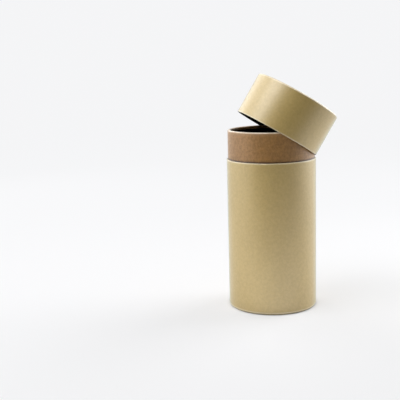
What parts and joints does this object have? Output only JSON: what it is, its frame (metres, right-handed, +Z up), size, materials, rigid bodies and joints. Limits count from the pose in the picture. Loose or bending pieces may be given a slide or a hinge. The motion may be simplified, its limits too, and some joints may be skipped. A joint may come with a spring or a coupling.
{
  "type": "cylindrical gift tube box",
  "caption": "Round paperboard gift tube with a rolled foot, an inner neck and a lift-off lid tipped on the neck's edge, opened to hold small goods.",
  "frame": {"origin": "centre of the rolled foot on the surface the box stands on, on the tube's axis", "axes": "+Z up along the tube's axis, -Y towards the side seen in the picture, +X to the right there, the side the lid leans to"},
  "size_m": [0.1025, 0.089, 0.2181],
  "materials": {
    "cream_wrap": "satin cream-gold coated wrapping paper",
    "kraft_board": "matt brown kraft paper plies",
    "black_lining": "matt black lining paper",
    "disc_board": "plain solid board"
  },
  "bodies": {
    "tube": {"body_wrap": "cream_wrap", "body_ply_outer": "kraft_board", "body_ply_inner": "kraft_board", "neck_ply_outer": "kraft_board", "neck_ply_middle": "kraft_board", "neck_ply_inner": "kraft_board", "neck_lining": "black_lining", "base_disc_facing": "cream_wrap", "base_disc": "disc_board", "base_disc_lining": "black_lining"},
    "lid": {"lid_wrap": "cream_wrap", "lid_ply_outer": "kraft_board", "lid_ply_inner": "kraft_board", "lid_lining": "black_lining", "lid_disc_facing": "cream_wrap", "lid_disc": "disc_board", "lid_disc_lining": "black_lining"}
  },
  "joints": [
    {"name": "lid_lift", "type": "slide", "parent": "tube", "child": "lid", "axis": [0, 0, 1], "range_m": [0, 0.04]}
  ]
}
